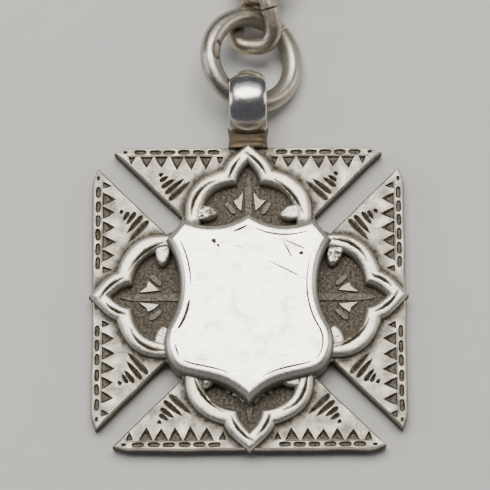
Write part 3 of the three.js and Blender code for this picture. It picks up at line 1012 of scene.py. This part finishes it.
# ---- Bail, collar and ring ----


STRAP_MIDDLE = STRAP / 2 + 0.03  # from the strap's outer face to the line it is swept along
SEAT_DROP = 0.25  # how much nearer the medal the solder seat is than in the CAD, to clear the ring
RING_SLIM = 0.985  # the wire's thickness as a share of the CAD's, to clear the bail
RING_SPLIT = math.radians(47)
RING_GAP = 0.02  # radians


class StrapSection:
    """A strap's section: crowned outside, and drawn in to an arch where the bail turns over."""

    sides = 26

    def __init__(self, steps, width):
        self.steps = steps
        self.width = width

    def __call__(self, i, j):
        angle = 2 * math.pi * (j + 0.5) / self.sides
        ahead = math.cos(2 * math.pi * i / self.steps)
        arch = max(0.0, (ahead - 0.42) / 0.58)
        half = self.width / 2 * math.sqrt(1 - 0.80 * arch ** 2.0)
        across = boxy(math.cos(angle), 0.38) * half
        inner = STRAP_MIDDLE - STRAP_INNER
        if math.sin(angle) < 0:
            return across, inner
        crown = 0.28 * (1 - (across / half) ** 2)
        return across, inner + 0.21 * math.sin(angle) ** 0.6 + crown


def bail():
    middle = (BAIL_LOW + BAIL_HIGH) / 2
    size = (BAIL_HIGH - BAIL_LOW) / 2
    steps = 96
    points, frames = [], []
    for angle in circle(steps):
        way = Vector((0, math.cos(angle), math.sin(angle)))
        out = Vector((0, way.y / size.y, way.z / size.z)).normalized()
        points.append(middle + way * size - out * STRAP_MIDDLE)
        frames.append((Vector((1, 0, 0)), out))
    section = StrapSection(steps, BAIL_HIGH.x - BAIL_LOW.x)

    # Painted shade on the strap's inner face, inside the loop.
    def inner_shade(_, j):
        return 0.45 if math.sin(2 * math.pi * (j + 0.5) / section.sides) < -0.2 else 0.0

    shape = sweep(points, frames, section, True, inner_shade)
    make_piece("bail_strap", shape, polished_silver, "medal", "bail", 50)


def collar():
    """The rough solder seat between the medal's edge and the bail."""
    low, high = box_mm("bail_collar")
    low.y -= SEAT_DROP
    high.y -= SEAT_DROP
    shape = Shape()
    across, along = 26, 18
    rings = []
    for i in range(along + 1):
        t = i / along
        y = low.y + (high.y - low.y) * t
        half = (high.x - low.x) / 2 * (0.95 - 0.07 * math.sin(math.pi * t))
        top = low.z + (high.z - low.z) * (0.70 + 0.22 * t)
        points = []
        for angle in circle(across):
            x = half * boxy(math.cos(angle), 0.4)
            z = (low.z + top) / 2 + (top - low.z) / 2 * boxy(math.sin(angle), 0.5)
            lump = noise.noise(Vector((x * 2.2, y * 3.0, z * 2.2))) * 0.12
            points.append(Vector((x + lump * 0.5, y, z + lump)))
        rings.append(shape.add_points(points))
    shape.skin(rings, [[0.25] * across] * (along + 1))
    make_piece("bail_solder", shape, solder_silver, "medal", "bail_collar")


def jump_ring():
    low, high = box_mm("jump_ring")
    centre = (low + high) / 2
    steps = 132
    tilt = Matrix.Rotation(RING_TILT, 3, "Y")
    points, frames = [], []
    for i in range(steps):
        angle = RING_SPLIT + RING_GAP + (2 * math.pi - 2 * RING_GAP) * i / (steps - 1)
        out = tilt @ Vector((math.cos(angle), math.sin(angle), 0))
        points.append(centre + out * RING_RADIUS)
        frames.append((out, tilt @ Vector((0, 0, 1))))
    left = int(steps * (math.radians(177) - RING_SPLIT) / (2 * math.pi))
    # Step along the wire, angle round it, then length, width and depth of each worn place.
    worn = [(left, math.radians(112), 4.6, 0.46, 0.13), (left + 34, math.radians(70), 7, 0.5, 0.03)]
    section = RoundWire(points, RING_SLIM * RING_WIRE / 2, 28, 2, 0.012, worn)

    def dirt_and_shade(i, j):
        around = 2 * math.pi * j / section.sides
        # Painted shade on the wire's inner side, facing the ring's middle; real dirt round the edge of the
        # worn dent.
        inner = 0.55 * smooth(-0.35, -0.95, math.cos(around))
        step, facing, long, wide, _ = worn[0]
        away = ((i - step) / long) ** 2 + (math.sin((around - facing) / 2) * 2 / wide) ** 2
        dent_edge = 0.9 * smooth(0.45, 0.8, away) * smooth(1.7, 1.15, away)
        return max(inner, dent_edge)

    shape = sweep(points, frames, section, False, dirt_and_shade)
    make_piece("jump_ring_wire", shape, ring_silver, "jump_ring", "jump_ring", 60)


# ---- Chain ----

LINK_NAMES = sorted(name for name in frame["nodes"] if name.startswith("link_"))
FIRST_ROLL = 52  # degrees, right side up
ROLL_STEP = 12  # each next link lies this much flatter


def link_frame(middle, along, roll):
    """A matrix whose Y runs along a link and whose X is the width of the link's middle."""
    side = along.cross(Vector((0, 0, 1))).normalized()
    turn = Matrix((side, along, side.cross(along))).transposed() @ Matrix.Rotation(roll, 3, "Y")
    return Matrix.Translation(middle) @ turn.to_4x4()


def link_shape(seed):
    points = twisted_oval(LINK_LENGTH, LINK_WIDTH, LINK_TWIST, LINK_SQUARENESS, 112)
    frames = loop_frames(points)
    section = RoundWire(points, LINK_WIRE / 2, 20, seed, 0.02)

    def dirt_and_shade(i, j):
        side, up = frames[i]
        angle = 2 * math.pi * j / section.sides
        out = side * math.cos(angle) + up * math.sin(angle)
        # Painted shade on the wire's inner side, facing the link's middle.
        return 0.55 * smooth(0.55, 1.0, -out.dot(points[i].normalized()))

    return sweep(points, frames, section, True, dirt_and_shade)


def link_middles():
    """The middle of each link and the way it points, from the joints it hangs between."""
    child = {joint["child"]: joint["name"] for joint in joints.values()}
    stops = [joint_at(child[name]) for name in LINK_NAMES[1:] + ["swivel_eye"]]
    first = (stops[1] - stops[0]).normalized() * 2 - (stops[2] - stops[1]).normalized()
    first.z = 0
    places = [(sum(box_mm(LINK_NAMES[0]), Vector()) / 2, first.normalized())]
    for before, after in zip(stops[:-2], stops[1:-1]):
        places.append(((before + after) / 2, (after - before).normalized()))
    last = sum(box_mm(LINK_NAMES[-1]), Vector()) / 2
    return places + [(last, (last - stops[-2]).normalized())]


def chain():
    for i, (name, (middle, along)) in enumerate(zip(LINK_NAMES, link_middles())):
        roll = -math.radians(max(0, FIRST_ROLL - ROLL_STEP * i))
        placed = Shape().join(link_shape(i + 1), link_frame(middle, along, roll))
        make_piece(f"{name}_wire", placed, link_silver, name, name, 60)


# ---- Swivel clip, drawn pointing along +Y from the last joint, X to its right ----

CLIP_START = 5.0
CLIP_WALL = 1.4
CLIP_THICK = 3.6
CLIP_HALF_BASE = 2.6
WINDOW_HALF = 1.7
WINDOW_END = 8.2
HOOK_CENTRE = Vector((0, 19.4))
HOOK_OUTER = 5.5
HOOK_INNER = 3.5
PIVOT = Vector((3.6, 11.4))
KNUCKLE = 2.0
GATE_EYE = 1.75
GATE_REACH = 8.9
GATE_SLOT = 1.5
GATE_LEAF = 0.62
GATE_PLAY = 0.06
PIN_RADIUS = 0.45
BORE_RADIUS = 0.52
POST_BORE = 0.9
CLIP_PLACE = Matrix.Translation(joint_at("clip_swivel")) @ Matrix.Rotation(-math.pi / 2, 4, "Z")


def arc(centre, radius, start, end, count):
    """count + 1 points on an arc, angles in degrees."""
    points = []
    for i in range(count + 1):
        angle = math.radians(start + (end - start) * i / count)
        points.append(centre + Vector((math.cos(angle), math.sin(angle))) * radius)
    return points


def rounded_profile(thick, radius, steps=5):
    """The edge of a slab with both its edges rounded, from the back's edge to the face's edge."""
    low = []
    for i in range(steps + 1):
        angle = math.radians(90 * i / steps)
        low.append((radius * (1 - math.sin(angle)), -thick / 2 + radius * (1 - math.cos(angle))))
    return low + [(distance, -z) for distance, z in reversed(low)]


def hook_outline():
    """The clip's body with its gate open: base, knuckle, throat, then round to the nose."""
    base = CLIP_HALF_BASE
    line = vectors([
        (-base, CLIP_START), (base, CLIP_START), (base, WINDOW_END - 0.9), (base + 0.3, WINDOW_END + 0.2)])
    line += arc(PIVOT, KNUCKLE, -66, 196, 30)
    line += bezier([(1.55, 10.5), (0.2, 10.0), (-1.2, 10.2), (-2.0, 11.6)], 8)
    line += bezier([(-2.0, 11.6), (-3.1, 13.4), (-3.5, 16.0), (-HOOK_INNER, HOOK_CENTRE.y)], 12)
    line += arc(HOOK_CENTRE, HOOK_INNER, 180, 19, 26)
    line += arc(HOOK_CENTRE, HOOK_OUTER, 10.2, 180, 34)
    line += bezier([(-HOOK_OUTER, 17.4), (-5.5, 13.5), (-4.4, 11.0), (-base, WINDOW_END)], 16)
    return line + vectors([(-base, WINDOW_END), (-base, 6.6)])


def combine(piece, shape, operation):
    """Cuts shape out of a piece, or joins it on."""
    other = add_object("temporary", shape, 40)
    change = piece.modifiers.new("combine", "BOOLEAN")
    change.operation = operation
    change.solver = "EXACT"
    change.object = other
    bpy.context.view_layer.update()
    evaluated = piece.evaluated_get(bpy.context.evaluated_depsgraph_get())
    result = bpy.data.meshes.new_from_object(evaluated)
    piece.modifiers.clear()
    old = piece.data
    piece.data = result
    bpy.data.meshes.remove(old)
    bpy.data.objects.remove(other)


def on_clip(shape, lift=0.0):
    return Shape().join(shape, CLIP_PLACE @ Matrix.Translation((0, 0, lift)))


def upright(shape, place):
    """A turned shape stood along Z at a place on the clip."""
    stood = Matrix.Translation((place.x, place.y, 0)) @ Matrix.Rotation(math.pi / 2, 4, "X")
    return on_clip(Shape().join(shape, stood))


def clip_body():
    window = vectors([
        (-WINDOW_HALF, CLIP_START + CLIP_WALL), (-WINDOW_HALF, WINDOW_END),
        (WINDOW_HALF, WINDOW_END), (WINDOW_HALF, CLIP_START + CLIP_WALL)])
    body = slab(hook_outline(), [window], rounded_profile(CLIP_THICK, 0.62))
    piece = make_piece("clip_hook", on_clip(body), clip_silver, "clip_body", "clip_body")
    reach = KNUCKLE + 0.3
    corners = vectors([(reach * 2, 0), (reach * 2, reach * 1.6), (-0.95, reach * 1.6)])
    groove = [PIVOT + corner for corner in corners] + arc(PIVOT, reach, 128, 360, 30)
    combine(piece, on_clip(slab(groove, [], [(0.0, -GATE_SLOT / 2), (0.0, GATE_SLOT / 2)])), "DIFFERENCE")
    drill = lathe([(BORE_RADIUS, -CLIP_THICK), (BORE_RADIUS, CLIP_THICK)], 32)
    combine(piece, upright(drill, PIVOT), "DIFFERENCE")
    post_hole = lathe([(POST_BORE, CLIP_START - 1), (POST_BORE, CLIP_START + CLIP_WALL + 0.5)], 32)
    combine(piece, on_clip(post_hole), "DIFFERENCE")


def clip_gate():
    bottom = -GATE_SLOT / 2 + GATE_PLAY
    top = bottom + GATE_LEAF
    eye = arc(PIVOT, GATE_EYE, 118, 422, 40)
    eye += [PIVOT + Vector((0.85, 3.0)), PIVOT + Vector((-0.85, 3.0))]
    hole = arc(PIVOT, BORE_RADIUS, 0, 345, 23)[::-1]
    leaf = slab(eye, [hole], [(0.05, bottom), (0.0, bottom + 0.05), (0.0, top - 0.05), (0.05, top)])
    arm = [PIVOT + corner for corner in vectors([
        (-0.9, 2.5), (0.9, 2.5), (2.0, 2.75), (2.3, 3.0), (2.3, 4.6), (2.0, 4.85), (1.2, 5.1),
        (1.2, 6.8), (1.15, GATE_REACH - 0.35), (0.6, GATE_REACH - 0.08), (0.0, GATE_REACH),
        (-0.6, GATE_REACH - 0.1)])]
    piece = make_piece("clip_gate_arm", on_clip(leaf), clip_silver, "clip_gate", "clip_gate")
    combine(piece, on_clip(slab(arm, [], rounded_profile(2.6, 0.34))), "UNION")


def gate_pin():
    half = CLIP_THICK / 2
    profile = [(0.12, -half - 0.02), (PIN_RADIUS - 0.12, -half + 0.02), (PIN_RADIUS, -half + 0.14)]
    profile += [(PIN_RADIUS, half - 0.14), (PIN_RADIUS - 0.12, half - 0.02), (0.12, half + 0.02)]
    pin = upright(lathe(profile, 32), PIVOT)
    make_piece("clip_pin", pin, steel, "clip_body", "gate_pin")


def gate_spring():
    """A torsion spring: a short coil round the pin, above the gate's eye."""
    wire = 0.13
    bottom = GATE_LEAF + 3 * GATE_PLAY - GATE_SLOT / 2 + wire / 2
    top = GATE_SLOT / 2 - GATE_PLAY - wire / 2
    turns, per_turn = 3.6, 30
    points = []
    for i in range(int(turns * per_turn) + 1):
        share = i / (turns * per_turn)
        angle = 2 * math.pi * turns * share
        spot = PIVOT + Vector((math.cos(angle), math.sin(angle))) * 0.8
        points.append(Vector((spot.x, spot.y, bottom + (top - bottom) * share)))
    section = RoundWire(points, wire / 2, 10, 3, 0.0)
    coil = sweep(points, loop_frames(points, False), section, False)
    make_piece("clip_spring", on_clip(coil), steel, "clip_body", "gate_spring", 60)


def swivel_eye():
    """The loop that the chain's last link holds, its post, and the peened head that turns in the clip."""
    points = twisted_oval(EYE_LENGTH, EYE_WIDTH, 0, EYE_SQUARENESS, 72)
    loop = sweep(points, loop_frames(points), RoundWire(points, EYE_WIRE / 2, 18, 21, 0.01), True)
    middle = EYE_LENGTH / 2 - 0.9
    placed = Matrix.Translation((0, middle, 0)) @ Matrix.Rotation(math.pi / 4, 4, "Y")
    eye = Shape().join(loop, placed)
    head = CLIP_START + CLIP_WALL + 0.2
    neck = middle + EYE_LENGTH / 2
    profile = [
        (0.3, neck - 0.35), (1.0, neck), (0.95, neck + 0.45), (0.72, neck + 0.75), (0.7, head + 0.02),
        (1.22, head), (1.3, head + 0.1), (1.28, head + 0.42), (1.05, head + 0.72), (0.6, head + 0.88),
        (0.15, head + 0.9)]
    eye.join(lathe(profile, 36))
    make_piece("swivel_eye_wire", on_clip(eye), link_silver, "swivel_eye", "swivel_eye")


def clip():
    swivel_eye()
    clip_body()
    clip_gate()
    gate_pin()
    gate_spring()


# ---- Floor, light and camera ----


def floor_material():
    tree = Tree("pale_floor")
    speck = tree.noise(0.35, 3.0, 0.6)
    tint = tree.mix(speck, (0.70, 0.69, 0.67, 1), (0.74, 0.73, 0.71, 1))
    tree.feed(tree.shader.inputs["Base Color"], tint)
    tree.shader.inputs["Roughness"].default_value = 0.75
    return tree.material


FLOOR_HALF = 900.0
FLOOR_TOP = -0.02  # just under the lowest piece


def floor():
    shape = Shape()
    corners = ((-1, -1), (1, -1), (1, 1), (-1, 1))
    shape.add_face(shape.add_loop([(x * FLOOR_HALF, y * FLOOR_HALF) for x, y in corners], FLOOR_TOP))
    ground = add_object("floor", shape, 30)
    ground.data.materials.append(floor_material())


def soft_light(name, place, aim, width, height, power, color):
    """An oval lamp aimed at a point: sizes and places in millimetres, power in watts."""
    data = bpy.data.lights.new(name, "AREA")
    data.shape = "ELLIPSE"
    data.size = width * MM
    data.size_y = height * MM
    data.energy = power
    data.color = color
    lamp = bpy.data.objects.new(name, data)
    lamp.location = Vector(place) * MM
    lamp.rotation_euler = (Vector(aim) - Vector(place)).to_track_quat("-Z", "Y").to_euler()
    bpy.context.scene.collection.objects.link(lamp)


WORLD_COLOR = (0.13, 0.14, 0.165, 1)
WORLD_STRENGTH = 0.6


def lights():
    soft_light("overhead", (-20, 150, 420), (0, 0, 0), 430, 250, 1.8, (1.0, 0.96, 0.875))
    soft_light("sky", (0, 330, 620), (0, 0, 0), 900, 700, 0.9, (0.95, 0.97, 1.0))
    soft_light("left", (-420, 40, 210), (0, 10, 0), 240, 300, 0.5, (0.90, 0.95, 1.0))
    soft_light("right", (400, 60, 180), (0, 10, 0), 220, 280, 0.32, (1.0, 0.94, 0.88))
    world = bpy.data.worlds.new("studio")
    world.use_nodes = True
    back = world.node_tree.nodes["Background"]
    back.inputs["Color"].default_value = WORLD_COLOR
    back.inputs["Strength"].default_value = WORLD_STRENGTH
    bpy.context.scene.world = world


CAMERA_TARGET = Vector((-0.32, 4.78, PLATE_TOP))
CAMERA_TILT = math.radians(16.0)
CAMERA_ROLL = math.radians(-0.28)
CAMERA_DISTANCE = 290.0
VIEW_WIDTH = 44.1
SENSOR = 36.0


def camera():
    data = bpy.data.cameras.new("camera")
    data.sensor_width = SENSOR
    data.lens = SENSOR * CAMERA_DISTANCE / VIEW_WIDTH
    data.clip_start = 5 * MM
    data.clip_end = 5000 * MM
    view = bpy.data.objects.new("camera", data)
    back = Vector((0, -math.sin(CAMERA_TILT), math.cos(CAMERA_TILT)))
    view.location = (CAMERA_TARGET + back * CAMERA_DISTANCE) * MM
    turn = Matrix.Rotation(CAMERA_TILT, 3, "X") @ Matrix.Rotation(CAMERA_ROLL, 3, "Z")
    view.rotation_euler = turn.to_euler()
    bpy.context.scene.collection.objects.link(view)
    bpy.context.scene.camera = view


camera()
lights()
floor()
medal()
shield()
bail()
collar()
jump_ring()
chain()
clip()
